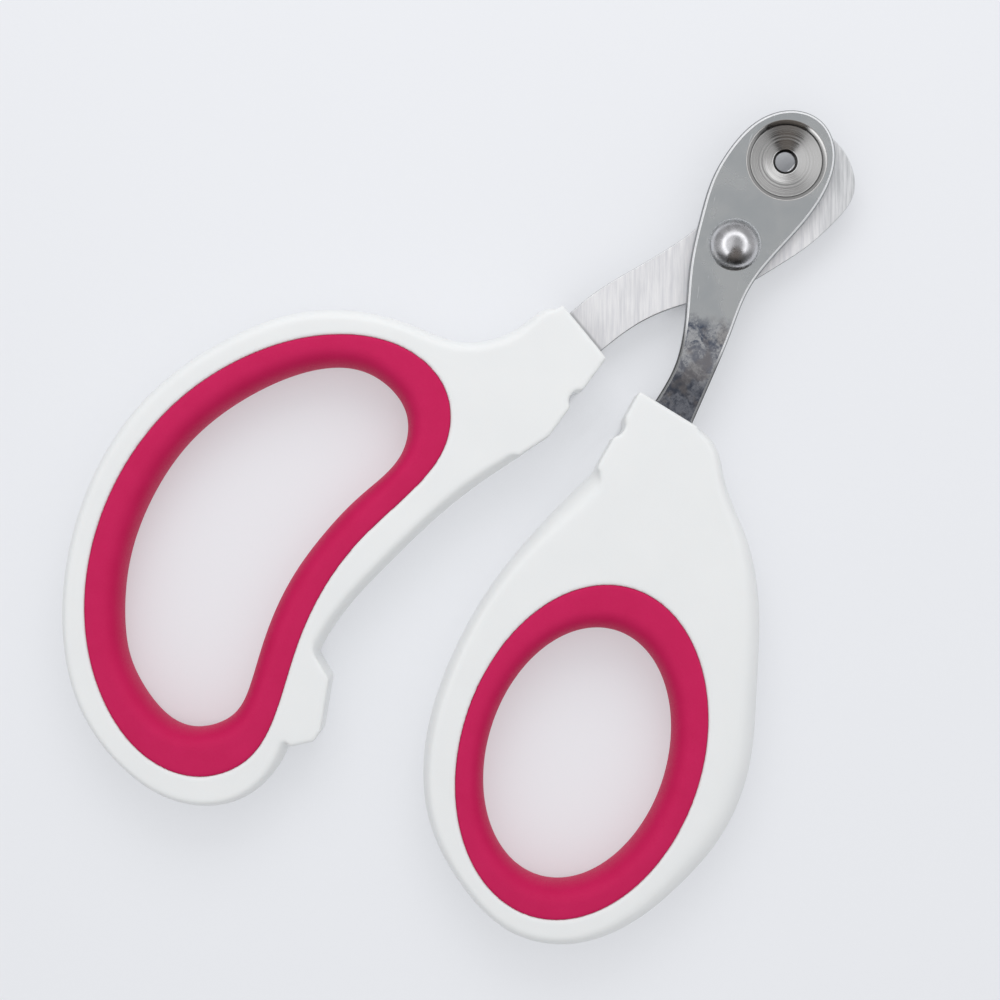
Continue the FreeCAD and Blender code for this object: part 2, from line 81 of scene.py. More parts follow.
# Left handle, its tang block and its closing stop.
LEFT_OUTLINE = [
    (-12.4, -25.2, 1.2), (-8.5, -26.6, 1.2), (-4.0, -30.5, 1.2), (-2.2, -38.0, 1.2), (-1.9, -44.5, 1.3),
    (-3.2, -51.0, 1.7), (-4.7, -60.5, 1.8), (-5.3, -71.5, 1.8), (-5.2, -80.5, 1.8), (-3.4, -89.0, 1.8),
    (0.2, -96.5, 1.8), (3.4, -104.0, 1.5), (2.7, -112.0, 1.3), (-3.8, -118.5, 1.2), (-13.5, -120.5, 1.2),
    (-25.0, -118.0, 1.3), (-35.3, -110.5, 1.5), (-43.8, -98.6, 1.7), (-48.2, -86.3, 1.8), (-48.9, -74.5, 1.8),
    (-46.0, -62.1, 1.8), (-40.8, -52.0, 1.8), (-34.0, -45.6, 1.8), (-27.0, -41.9, 1.8), (-20.3, -38.9, 1.8),
    (-16.4, -34.3, 1.8), (-14.9, -29.4, 1.6), (-14.1, -26.4, 1.3),
]
LEFT_BLOCK = [
    (-12.7, -24.54), (-2.4, -25.9), (-0.7, -40.2), (-1.1, -41.9), (-2.0, -45.6), (-6.0, -46.0),
    (-13.0, -33.0),
]
STOP_TAB = [(-5.6, -87.6), (0.1, -89.2), (4.5, -95.8), (4.8, -97.6), (2.7, -100.6), (-1.5, -100.2)]
LEFT_NOTCH = (-0.9, -33.3, 1.65)

# Grips: the kidney's matching points on the grip's outer edge and on its finger hole, and the oval's ellipses
# as (centre, length, width).
KIDNEY = [
    ((-24.0, -45.1), (-24.5, -51.3)), ((-16.3, -46.0), (-18.8, -52.4)), ((-11.2, -51.6), (-15.3, -57.0)),
    ((-10.1, -60.5), (-15.1, -63.5)), ((-10.7, -71.0), (-15.6, -71.0)), ((-9.7, -80.0), (-14.7, -81.2)),
    ((-6.8, -88.8), (-11.7, -90.8)), ((-2.6, -97.6), (-8.1, -98.3)), ((-0.6, -106.2), (-6.9, -103.9)),
    ((-4.2, -113.2), (-9.5, -108.6)), ((-12.0, -116.4), (-14.5, -110.5)), ((-21.5, -114.9), (-21.5, -109.2)),
    ((-30.5, -109.6), (-27.4, -105.6)), ((-38.4, -100.5), (-34.0, -97.8)), ((-43.6, -88.4), (-38.5, -87.3)),
    ((-44.9, -75.5), (-39.8, -76.3)), ((-41.8, -62.3), (-37.2, -64.3)), ((-34.0, -50.6), (-31.4, -54.6)),
]
OVAL_GRIP = ((20.2, -77.0), 51.2, 36.2)
OVAL_HOLE = ((20.1, -77.8), 39.0, 27.2)
OVAL_TILT = 104.0
# How wide the grips' rounding into the hole is, and the flat that is left beside it where a grip is narrow.
CROWN_WIDTH = 3.3
FLAT_WIDTH = 1.3

# Blades, as smooth chains: the upper one from the arm's left side round the head and back.
UPPER_EDGE = [
    (2.2, -26.5), (1.9, -20.0), (0.2, -14.8), (-4.4, -5.4), (-6.6, 1.0), (-8.1, 7.0), (-8.2, 12.0),
    (-6.6, 18.2), (-2.7, 22.1), (1.5, 22.7), (5.4, 20.1), (7.4, 14.6), (7.0, 7.0), (5.8, 0.5),
    (5.4, -4.5), (6.5, -11.5), (7.6, -18.5), (8.7, -26.5),
]
UPPER_TANG = [(7.8, -26.5), (7.2, -44.0), (3.8, -44.0), (3.1, -26.5)]
LOWER_LEFT_EDGE = [
    (-11.2, -24.74), (-10.3, -18.6), (-8.4, -12.0), (-6.6, -5.5), (-6.0, 0.0), (-7.4, 8.0), (-5.6, 11.7),
]
LOWER_NOTCH = [(-5.6, 11.7), (-1.7, 14.85), (-5.0, 17.9)]
LOWER_RIGHT_EDGE = [
    (-5.0, 17.9), (-4.6, 20.4), (0.1, 22.2), (4.6, 21.2), (7.6, 18.8), (8.7, 13.0), (8.2, 7.6), (6.9, 2.2),
    (4.4, -5.2), (0.5, -11.6), (-2.3, -17.6), (-3.9, -25.7),
]
LOWER_TANG = [(-4.9, -25.57), (-5.6, -42.0), (-9.4, -42.0), (-10.3, -24.85)]
# The blades' bevels above, on the upper one and on the lower one, and below, then those of the tangs, and how
# far along each blade its tang starts.
CHAMFER = 0.4
LOWER_CHAMFER = 0.08
FOOT_BEVEL = 0.15
TANG_BEVEL = 0.06
UPPER_FRONT = -26.2
LOWER_FRONT = -24.5
# A blade's edges are rounded over this much of each face, and a narrow strip beside that holds the face flat.
SOFT = 0.035
HOLD = 0.04
# The cutting bevel under the notch, the points round its arc, and how many of them it fades over at each end.
EDGE_BEVEL = 1.3
NOTCH_POINTS = 24
NOTCH_FADE = 4
# The dish over the nail hole as (radius, depth): the end of the hole and its lead, the cone's steep and
# shallow slopes, the step and the lip, with a point or more on either side of each corner to round it.
DISH_CENTRE = (0.0, 14.9)
HOLE_RADIUS = 1.5
DISH_FOOT_RADIUS = 1.9
DISH = [
    (HOLE_RADIUS, 1.72), (HOLE_RADIUS, 1.68), (1.53, 1.64), (1.56, 1.615),
    (DISH_FOOT_RADIUS - 0.07, 1.41), (DISH_FOOT_RADIUS - 0.03, 1.38),
    (DISH_FOOT_RADIUS + 0.03, 1.355), (DISH_FOOT_RADIUS + 0.08, 1.343),
    (2.5, 1.23), (3.12, 1.09), (3.18, 1.075), (3.24, 1.06), (3.3, 1.05),
    (4.3, 0.85), (5.3, 0.65), (5.36, 0.64), (5.42, 0.60), (5.44, 0.56),
    (5.47, 0.42), (5.49, 0.38), (5.54, 0.34), (5.6, 0.30),
    (5.98, 0.04), (6.04, 0.01), (6.1, 0), (6.16, 0),
]
# The rivet and its washer, the lower blade's clearance round the shank, and how far holes' edges are broken.
SHANK_RADIUS = 2.0
SHANK_CLEARANCE = 0.05
HOLE_EDGE = 0.05
HEAD_RADIUS = 3.95
HEAD_HEIGHT = 2.5
TAIL_RADIUS = 3.0
TAIL_HEIGHT = 0.9
WASHER_RADIUS = 3.9
WASHER_THICKNESS = 0.8

# ---------------------------------------------------------------- curves and meshes

def spline(points, closed, spacing=0.5):
    """Points about a spacing apart on the cubic curve through the given points, whatever else they carry."""
    knots = np.array(points, float)
    if closed:
        knots = np.vstack([knots, knots[:1]])
    spans = np.hypot(*np.diff(knots[:, :2], axis=0).T)
    count = len(knots)
    system = np.zeros((count, count))
    wanted = np.zeros_like(knots)
    slopes = np.diff(knots, axis=0) / spans[:, None]
    for index in range(1, count - 1):
        before, after = spans[index - 1], spans[index]
        system[index, index - 1:index + 2] = before, 2 * (before + after), after
        wanted[index] = 6 * (slopes[index] - slopes[index - 1])
    if closed:
        system[0, [0, 1, -2]] = 2 * (spans[0] + spans[-1]), spans[0], spans[-1]
        wanted[0] = 6 * (slopes[0] - slopes[-1])
        system[-1, [0, -1]] = 1, -1
    else:
        system[0, 0] = system[-1, -1] = 1
    bends = np.linalg.solve(system, wanted)
    made = []
    for index, span in enumerate(spans):
        steps = max(2, round(span / spacing))
        along = np.linspace(0, span, steps, endpoint=False)[:, None]
        left, right = span - along, along
        made.append(
            (bends[index] * left ** 3 + bends[index + 1] * right ** 3) / (6 * span)
            + (knots[index] / span - bends[index] * span / 6) * left
            + (knots[index + 1] / span - bends[index + 1] * span / 6) * right)
    if not closed:
        made.append(knots[-1:])
    return np.vstack(made)


def distance(loop, x, y):
    """Distance from each point of a grid to a closed loop, negative inside, and what the loop carries."""
    nearest = np.full(x.shape, np.inf)
    carried = np.zeros(x.shape)
    inside = np.zeros(x.shape, bool)
    for start, end in zip(loop, np.roll(loop, -1, axis=0)):
        step_x, step_y = end[:2] - start[:2]
        share = ((x - start[0]) * step_x + (y - start[1]) * step_y) / (step_x ** 2 + step_y ** 2)
        share = np.clip(share, 0, 1)
        away = (x - start[0] - share * step_x) ** 2 + (y - start[1] - share * step_y) ** 2
        closer = away < nearest
        nearest[closer] = away[closer]
        if len(start) > 2:
            carried[closer] = (start[2] + share * (end[2] - start[2]))[closer]
        if step_y:
            crossed = (start[1] > y) != (end[1] > y)
            inside ^= crossed & (x < start[0] + (y - start[1]) * step_x / step_y)
    return np.where(inside, -1, 1) * np.sqrt(nearest), carried


def soft_max(first, second, reach):
    """The larger of two fields, with the edge where they meet rounded over the given reach."""
    near = np.maximum(reach - np.abs(first - second), 0)
    return np.maximum(first, second) + near ** 2 / (4 * reach)


def surface(values, corner, step):
    """Points and quads of the surface between a grid's negative and positive values (surface nets)."""
    cells = tuple(size - 1 for size in values.shape)
    total = np.zeros((*cells, 3), np.float32)
    count = np.zeros(cells, np.float32)
    crossings = []
    for axis in range(3):
        second, third = (axis + 1) % 3, (axis + 2) % 3
        low = np.take(values, range(0, values.shape[axis] - 1), axis)
        high = np.take(values, range(1, values.shape[axis]), axis)
        crossed = (low < 0) != (high < 0)
        along = np.where(crossed, low / np.where(crossed, low - high, 1), 0)
        crossings.append((axis, second, third, crossed, low < 0))
        for u, v in ((0, 0), (0, 1), (1, 0), (1, 1)):
            part = [slice(None)] * 3
            part[second] = slice(u, values.shape[second] - 1 + u)
            part[third] = slice(v, values.shape[third] - 1 + v)
            here = crossed[tuple(part)]
            total[..., axis] += along[tuple(part)]
            total[..., second] += here * u
            total[..., third] += here * v
            count += here
    active = count > 0
    number = np.full(cells, -1)
    number[active] = np.arange(active.sum())
    points = np.argwhere(active) + total[active] / count[active][:, None]
    quads = []
    for axis, second, third, crossed, outwards in crossings:
        inner = [slice(None)] * 3
        inner[second] = slice(1, -1)
        inner[third] = slice(1, -1)
        found = np.argwhere(crossed[tuple(inner)])
        found[:, second] += 1
        found[:, third] += 1
        corners = []
        for u, v in ((-1, -1), (0, -1), (0, 0), (-1, 0)):
            cell = found.copy()
            cell[:, second] += u
            cell[:, third] += v
            corners.append(number[tuple(cell.T)])
        faces = np.stack(corners, 1)
        turned = ~outwards[tuple(found.T)]
        faces[turned] = faces[turned][:, ::-1]
        quads.append(faces)
    return np.array(corner) + points * step, np.vstack(quads)


def upright(offset, height, half_height, radius):
    """Field of an upright-walled solid about mid height whose edges are rounded to the given radius."""
    across, up = offset + radius, np.abs(height) - half_height + radius
    outside = np.hypot(np.maximum(across, 0), np.maximum(up, 0))
    return np.minimum(np.maximum(across, up), 0) + outside - radius


def rounded(offset, width, height):
    """Field of a flat-topped solid whose sides are rounded over a width at each place."""
    across = np.maximum(1 + offset / width, 0)
    up = np.abs(height) / MIDDLE
    return ((across ** ROUNDNESS + up ** ROUNDNESS) ** (1 / ROUNDNESS) - 1) * MIDDLE


def in_frame(points, side):
    """Points of a half drawn shut, in millimetres, where they are in the frame at rest, in metres."""
    points = np.array(points, float)
    angle = math.radians(side * HALF_OPENING)
    turned = points.copy()
    turned[:, 0] = points[:, 0] * math.cos(angle) - points[:, 1] * math.sin(angle)
    turned[:, 1] = points[:, 0] * math.sin(angle) + points[:, 1] * math.cos(angle)
    return turned * MM + np.array([PIVOT.x, PIVOT.y, 0])


# the half that each side of the pivot belongs to: its body, and which way it is swung open
SIDES = {"right": ("right_half", 1), "left": ("left_half", -1)}


def add_piece(name, node, half, slot, materials, points, faces, finish_of_face=None):
    """A mesh piece that stands for a CAD node and moves with its half."""
    body, side = SIDES[half]
    mesh = bpy.data.meshes.new(name)
    mesh.from_pydata(in_frame(points, side).tolist(), [], [list(map(int, face)) for face in faces])
    for material in materials:
        mesh.materials.append(material)
    if finish_of_face is not None:
        mesh.polygons.foreach_set("material_index", finish_of_face)
    for face in mesh.polygons:
        face.use_smooth = True
    joined = bmesh.new()
    joined.from_mesh(mesh)
    bmesh.ops.remove_doubles(joined, verts=joined.verts, dist=0.001 * MM)
    bmesh.ops.recalc_face_normals(joined, faces=joined.faces)
    joined.to_mesh(mesh)
    joined.free()
    piece = bpy.data.objects.new(name, mesh)
    bpy.context.scene.collection.objects.link(piece)
    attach(piece, body)
    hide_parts(node)


# ---------------------------------------------------------------- handles

# The spacing of the grid that the handles are worked out on and how far it runs past them, and how far the
# blocks' edges, the joints between blocks and loop, and the edges beside the grips are rounded.
GRID = 0.3
LOOP_MARGIN, BLOCK_MARGIN = 3.0, 1.0
BLOCK_EDGE = 0.3
JOINT_REACH = 1.2
SEAM_EDGE = 0.12


def handle_mesh(outline, blocks, notch, grip_edge, tang, tang_floor):
    """A handle's points and quads: the rounded loop and its blocks, less notch, grip and tang."""
    loop = spline(outline, closed=True)
    low = loop[:, :2].min(0) - LOOP_MARGIN
    high = loop[:, :2].max(0) + LOOP_MARGIN
    for block in blocks:
        low = np.minimum(low, np.min(block, 0) - BLOCK_MARGIN)
        high = np.maximum(high, np.max(block, 0) + BLOCK_MARGIN)
    x, y = np.meshgrid(np.arange(low[0], high[0], GRID), np.arange(low[1], high[1], GRID), indexing="ij")
    loop_offset, loop_width = distance(loop, x, y)
    block_offset = np.min([distance(np.array(block), x, y)[0] for block in blocks], axis=0)
    notch_offset = np.hypot(x - notch[0], y - notch[1]) - notch[2]
    grip_offset = distance(grip_edge, x, y)[0]
    tang_offset = distance(np.array(tang), x, y)[0]
    # every part is a field that is negative inside it, worked out one level at a time
    layers = []
    heights = np.arange(-MIDDLE - GRID * 1.5, MIDDLE + GRID * 2, GRID)
    for height in heights:
        loop_part = rounded(loop_offset, loop_width, height)
        block_part = upright(block_offset, height, MIDDLE, BLOCK_EDGE)
        joined = -soft_max(-loop_part, -block_part, JOINT_REACH)
        solid = np.maximum(joined, abs(height) - MIDDLE)
        solid = soft_max(solid, -notch_offset, BLOCK_EDGE)
        past_rim = np.maximum(abs(height) - RIM_HALF_HEIGHT, -grip_offset - RIM_DEPTH)
        solid = soft_max(solid, np.minimum(-grip_offset, past_rim), SEAM_EDGE)
        tang_height = abs(MIDDLE + height - tang_floor - BLADE_THICKNESS / 2) - BLADE_THICKNESS / 2
        solid = np.maximum(solid, -np.maximum(tang_offset, tang_height))
        layers.append(solid)
    return surface(np.stack(layers, 2), (low[0], low[1], MIDDLE + heights[0]), GRID)


def ellipse(shape, count=240):
    """Points round one of the oval grip's ellipses."""
    (centre_x, centre_y), length, width = shape
    angle = np.linspace(0, 2 * math.pi, count, endpoint=False)
    tilt = math.radians(OVAL_TILT)
    along, across = np.cos(angle) * length / 2, np.sin(angle) * width / 2
    return np.stack([
        centre_x + along * math.cos(tilt) - across * math.sin(tilt),
        centre_y + along * math.sin(tilt) + across * math.cos(tilt)], 1)


def kidney_edges():
    """The kidney grip's outer edge and hole as points that match one another."""
    pairs = spline([(*outer, *inner) for outer, inner in KIDNEY], closed=True)
    return pairs[:, :2], pairs[:, 2:]


# ---------------------------------------------------------------- grips

def grip_section():
    """Half of a grip's section, from its groove up over the crown to mid height at the hole.

    Each place is (distance in from the grip's edge, None, height) or (None, share of the crown, height).
    """
    crown_roundness, seam_drop = 2.25, 0.08
    outside = [(RIM_DEPTH, RIM_HALF_HEIGHT), (0.25, RIM_HALF_HEIGHT), (0.02, RIM_HALF_HEIGHT + 0.25),
               (0.02, 4.72), (0.06, 4.84), (0.16, MIDDLE - seam_drop)]
    made = [(RIM_DEPTH, None, 0.6)] + [(offset, None, height) for offset, height in outside]
    made += [(share, None, MIDDLE - seam_drop * (1 - share / 1.2) ** 2) for share in (0.5, 0.85, 1.2)]
    for degrees in range(90, -1, -5):
        angle = math.radians(degrees)
        inset = 1 - max(math.cos(angle), 0) ** (2 / crown_roundness)
        made.append((None, inset, MIDDLE * math.sin(angle) ** (2 / crown_roundness)))
    return made


def grip_mesh(outer, hole):
    """A grip's points and quads, between its outer edge and the matching points round its hole."""
    half = grip_section()
    section = half + [(offset, inset, -height) for offset, inset, height in reversed(half[:-1])]
    across = hole - outer
    width = np.hypot(across[:, 0], across[:, 1])[:, None]
    across = across / width
    crown = np.minimum(CROWN_WIDTH, width - FLAT_WIDTH)
    rows = []
    for offset, inset, height in section:
        place = outer + across * (offset if inset is None else width - inset * crown)
        rows.append(np.column_stack([place, np.full(len(outer), MIDDLE + height)]))
    return swept(rows)


def swept(rows):
    """Points and quads of rows that close on themselves, the last joined to the first."""
    count, length = len(rows), len(rows[0])
    faces = []
    for row in range(count):
        after = (row + 1) % count
        for index in range(length):
            side = (index + 1) % length
            near, far = row * length, after * length
            faces.append((near + index, near + side, far + side, far + index))
    return np.vstack(rows), faces


# ---------------------------------------------------------------- blades and rivet

# how many points each turned shape and each round hole has
ROUND_POINTS = 120
# the outer share of the upper bevel that is finished like the wall, whose dark colour there paints a thin
# shadow line outside the bright bevel
DULL_SHARE = 0.3


def lathe(section, centre=(0.0, 0.0)):
    """Points and faces turned about an upright axis, from (radius, height) pairs; radius 0 makes a pole."""
    points, faces, rows = [], [], []
    for radius, height in section:
        if radius == 0:
            rows.append([len(points)] * ROUND_POINTS)
            points.append((centre[0], centre[1], height))
            continue
        rows.append(list(range(len(points), len(points) + ROUND_POINTS)))
        for index in range(ROUND_POINTS):
            angle = 2 * math.pi * index / ROUND_POINTS
            place = (centre[0] + radius * math.cos(angle), centre[1] + radius * math.sin(angle))
            points.append((*place, height))
    for lower, upper in zip(rows, rows[1:]):
        for index in range(ROUND_POINTS):
            side = (index + 1) % ROUND_POINTS
            corners = (lower[index], lower[side], upper[side], upper[index])
            faces.append(tuple(dict.fromkeys(corners)))
    return points, faces


def inward(loop):
    """Steps from the points of a closed loop that move every side inwards by one."""
    before = loop - np.roll(loop, 1, axis=0)
    after = np.roll(loop, -1, axis=0) - loop
    area = np.sum(loop[:, 0] * np.roll(loop[:, 1], -1) - loop[:, 1] * np.roll(loop[:, 0], -1))
    normals = []
    for side in (before, after):
        unit = side / np.hypot(side[:, 0], side[:, 1])[:, None]
        normals.append(np.stack([-unit[:, 1], unit[:, 0]], 1) * np.sign(area))
    middle = normals[0] + normals[1]
    middle /= np.maximum(np.hypot(middle[:, 0], middle[:, 1]), 1e-9)[:, None]
    stretch = np.maximum(np.sum(middle * normals[0], axis=1), 0.5)
    return middle / stretch[:, None]


def fill(boundary, holes, height, spacing=1.2):
    """Triangles of a flat face between a boundary and its holes."""
    loops = [boundary, *holes]
    flat, edges = [], []
    for loop in loops:
        first = len(flat)
        flat += [Vector(point) for point in loop]
        edges += [(first + index, first + (index + 1) % len(loop)) for index in range(len(loop))]
    low, high = boundary.min(0), boundary.max(0)
    x, y = np.meshgrid(np.arange(low[0], high[0], spacing), np.arange(low[1], high[1], spacing))
    free = distance(boundary, x, y)[0] < -spacing / 2
    for hole in holes:
        free &= distance(hole, x, y)[0] > spacing / 2
    flat += [Vector(point) for point in zip(x[free], y[free])]
    made, _, triangles = delaunay_2d_cdt(flat, edges, [], 0, 1e-7)[:3]
    made = np.array(made)
    triangles = np.array(triangles)
    middle_x, middle_y = made[triangles].mean(1).T
    kept = distance(boundary, middle_x, middle_y)[0] < 0
    for hole in holes:
        kept &= distance(hole, middle_x, middle_y)[0] > 0
    return np.column_stack([made, np.full(len(made), height)]), triangles[kept]


def circle(centre, radius):
    """Points round a circle, in the same places as a turned shape's."""
    angle = np.linspace(0, 2 * math.pi, ROUND_POINTS, endpoint=False)
    return np.stack([centre[0] + radius * np.cos(angle), centre[1] + radius * np.sin(angle)], 1)


def plate_mesh(loop, top_bevel, foot_bevel, floor, holes, wall_finish, bevel_finish):
    """A flat blade with bevelled edges and holes: its points, its faces and the finish of each face.

    Each hole is (centre, section, finish). The bevels are depths at each point of the loop.
    """
    steps = inward(loop)
    top = floor + BLADE_THICKNESS
    inner = 0.2
    zero = np.zeros(len(loop))
    corners = [
        (foot_bevel + inner, zero + floor), (foot_bevel, zero + floor), (zero, floor + foot_bevel),
        (zero, top - top_bevel), (DULL_SHARE * top_bevel, top - (1 - DULL_SHARE) * top_bevel),
        (top_bevel, zero + top), (top_bevel + inner, zero + top),
    ]
    # each corner becomes four places, two on each side of it, which keep to the nearer half of a short side
    profile = []
    for before, here, after in zip(corners, corners[1:], corners[2:]):
        for toward, amounts in ((before, (SOFT + HOLD, SOFT)), (after, (SOFT, SOFT + HOLD))):
            run = np.hypot(toward[0] - here[0], toward[1] - here[1])
            for amount in amounts:
                share = np.minimum(amount / run, 0.45 * amount / (SOFT + HOLD))
                profile.append([place + share * (other - place) for place, other in zip(here, toward)])
    rows = []
    for inset, height in profile:
        rows.append(np.column_stack([loop + steps * inset[:, None], height]))
    points, faces = swept(rows)
    count = len(loop)
    faces = faces[:count * (len(rows) - 1)]
    # the strips between the rows, from below: face, foot bevel with wall and dull share, upper bevel, face
    strips = [0] * 3 + [wall_finish] * 11 + [bevel_finish] * 4 + [0]
    finishes = [finish for finish in strips for _ in range(count)]
    points = list(points)

    def join(more_points, more_faces, finish):
        first = len(points)
        points.extend(more_points)
        faces.extend(tuple(first + corner for corner in face) for face in more_faces)
        finishes.extend([finish] * len(more_faces))
    for centre, section, finish in holes:
        join(*lathe(section, centre), finish)
    for row, level, end in ((0, floor, 0), (-1, top, -1)):
        rims = [circle(centre, section[end][0]) for centre, section, finish in holes]
        join(*fill(rows[row][:, :2], rims, level), 0)
    return points, faces, finishes


def bore(radius, floor):
    """Section of a plain hole with broken edges through a blade."""
    top, widened = floor + BLADE_THICKNESS, radius + HOLE_EDGE
    return [(widened + HOLD, floor), (widened, floor), (radius, floor + HOLE_EDGE),
            (radius, top - HOLE_EDGE), (widened, top), (widened + HOLD, top)]


def dish_section():
    """From the nail hole's lower edge up its lead, the two-slope cone and the step to the lip."""
    foot = bore(HOLE_RADIUS, UPPER_FLOOR)[:3]
    return foot + [(radius, UPPER_FLOOR + BLADE_THICKNESS - depth) for radius, depth in DISH]


def upper_blade_mesh():
    """The blade with the turned dish, whose finishes are 0 face, 1 dish, 2 wall and 3 bevel."""
    edge = spline(UPPER_EDGE, closed=False)
    loop = np.vstack([edge, UPPER_TANG])
    outside = loop[:, 1] > UPPER_FRONT
    top_bevel = np.where(outside, CHAMFER, TANG_BEVEL)
    foot_bevel = np.where(outside, FOOT_BEVEL, TANG_BEVEL)
    holes = [((0, 0), bore(SHANK_RADIUS, UPPER_FLOOR), 0), (DISH_CENTRE, dish_section(), 1)]
    return plate_mesh(loop, top_bevel, foot_bevel, UPPER_FLOOR, holes, 2, 3)


def arc_through(start, through, end, count):
    """Points on the arc through three points, its ends included."""
    (ax, ay), (bx, by), (cx, cy) = start, through, end
    area = 2 * (ax * (by - cy) + bx * (cy - ay) + cx * (ay - by))
    a, b, c = ax * ax + ay * ay, bx * bx + by * by, cx * cx + cy * cy
    middle_x = a * (by - cy) + b * (cy - ay) + c * (ay - by)
    middle_y = a * (cx - bx) + b * (ax - cx) + c * (bx - ax)
    middle = np.array([middle_x, middle_y]) / area
    radius = math.hypot(ax - middle[0], ay - middle[1])
    angles = [math.atan2(y - middle[1], x - middle[0]) for x, y in (start, through, end)]
    angles = np.unwrap(angles)
    angle = np.linspace(angles[0], angles[2], count)
    return np.stack([middle[0] + radius * np.cos(angle), middle[1] + radius * np.sin(angle)], 1)


def lower_blade_mesh():
    """The cutting blade, ground thin under its notch, whose finishes are 0 face and 1 wall."""
    left = spline(LOWER_LEFT_EDGE, closed=False)
    notch = arc_through(*LOWER_NOTCH, NOTCH_POINTS)[1:-1]
    right = spline(LOWER_RIGHT_EDGE, closed=False)
    loop = np.vstack([left, notch, right, LOWER_TANG])
    place = np.arange(len(loop)) - len(left)
    cuts = (place >= 0) & (place < len(notch))
    share = np.clip(np.minimum(place, len(notch) - 1 - place) / NOTCH_FADE, 0, 1)
    outside = (loop[:, 1] > LOWER_FRONT) & ~cuts
    top_bevel = np.where(outside, LOWER_CHAMFER, TANG_BEVEL)
    cut_bevel = TANG_BEVEL + share * (EDGE_BEVEL - TANG_BEVEL)
    foot_bevel = np.where(cuts, cut_bevel, np.where(outside, FOOT_BEVEL, TANG_BEVEL))
    holes = [((0, 0), bore(SHANK_RADIUS + SHANK_CLEARANCE, LOWER_FLOOR), 0)]
    return plate_mesh(loop, top_bevel, foot_bevel, LOWER_FLOOR, holes, 1, 0)


def cap(radius, height, foot, way, count=16):
    """Section of a spherical cap, from its rim to its crown, standing up or hanging down from a foot."""
    ball = (radius ** 2 + height ** 2) / (2 * height)
    widest = math.asin(radius / ball)
    section = []
    for index in range(count + 1):
        angle = widest * (1 - index / count)
        section.append((ball * math.sin(angle), foot + way * (height - ball * (1 - math.cos(angle)))))
    section[-1] = (0, foot + way * height)
    return section


def rivet_mesh():
    """The rivet from its peened tail up through both blades to its domed head."""
    blade_top = UPPER_FLOOR + BLADE_THICKNESS
    washer_floor = LOWER_FLOOR - BLADE_GAP - WASHER_THICKNESS
    tail = cap(TAIL_RADIUS, TAIL_HEIGHT - SOFT, washer_floor - SOFT, -1)
    head = cap(HEAD_RADIUS, HEAD_HEIGHT - SOFT, blade_top + SOFT, 1, count=28)
    stem = [(TAIL_RADIUS - SOFT, washer_floor), (SHANK_RADIUS, washer_floor), (SHANK_RADIUS, blade_top),
            (HEAD_RADIUS - SOFT, blade_top)]
    return lathe(tail[::-1] + stem + head)


def washer_mesh():
    """The washer between the lower blade and the rivet's tail."""
    top = LOWER_FLOOR - BLADE_GAP
    floor, inner, outer, soft = top - WASHER_THICKNESS, SHANK_RADIUS, WASHER_RADIUS, 0.12
    ring = [
        (inner, floor), (outer - soft, floor), (outer - soft / 3, floor + soft / 3), (outer, floor + soft),
        (outer, top - soft), (outer - soft / 3, top - soft / 3), (outer - soft, top), (inner, top),
    ]
    return lathe(ring + ring[:1])


# ---------------------------------------------------------------- shader helpers

class Nodes:
    """Short calls for the nodes that the finishes and the studio are made of."""

    def __init__(self, tree):
        self.tree = tree

    def node(self, kind, inputs=None, **properties):
        """A node with some of its inputs set, each to a value or to another node's output."""
        made = self.tree.nodes.new("ShaderNode" + kind)
        for name, value in properties.items():
            setattr(made, name, value)
        for name, value in (inputs or {}).items():
            if isinstance(value, bpy.types.NodeSocket):
                self.tree.links.new(value, made.inputs[name])
            else:
                made.inputs[name].default_value = value
        return made

    def ramp(self, value, low, high, to_low=0.0, to_high=1.0):
        """The value moved smoothly from one range to another."""
        inputs = {"Value": value, "From Min": low, "From Max": high, "To Min": to_low, "To Max": to_high}
        return self.node("MapRange", inputs, interpolation_type="SMOOTHSTEP").outputs["Result"]

    def band(self, value, starts, rises, falls, ends):
        """One where the value is between two others, fading to nothing on either side."""
        return self.math("MULTIPLY", self.ramp(value, starts, rises), self.ramp(value, ends, falls))

    def math(self, operation, first, second=0.0):
        """The result of an operation on one or two values."""
        return self.node("Math", {0: first, 1: second}, operation=operation).outputs[0]

    def vector(self, operation, first, second=(0, 0, 0)):
        """The result of an operation on one or two vectors."""
        made = self.node("VectorMath", {0: first, 1: second}, operation=operation)
        return made.outputs["Value" if operation in ("LENGTH", "DOT_PRODUCT") else "Vector"]

    def blend(self, share, first, second):
        """A colour between two colours, each given as three numbers or as another node's output."""
        colours = []
        for value in (first, second):
            colours.append(value if isinstance(value, bpy.types.NodeSocket) else (*value, 1))
        made = self.node("Mix", {0: share, 6: colours[0], 7: colours[1]}, data_type="RGBA")
        return made.outputs[2]


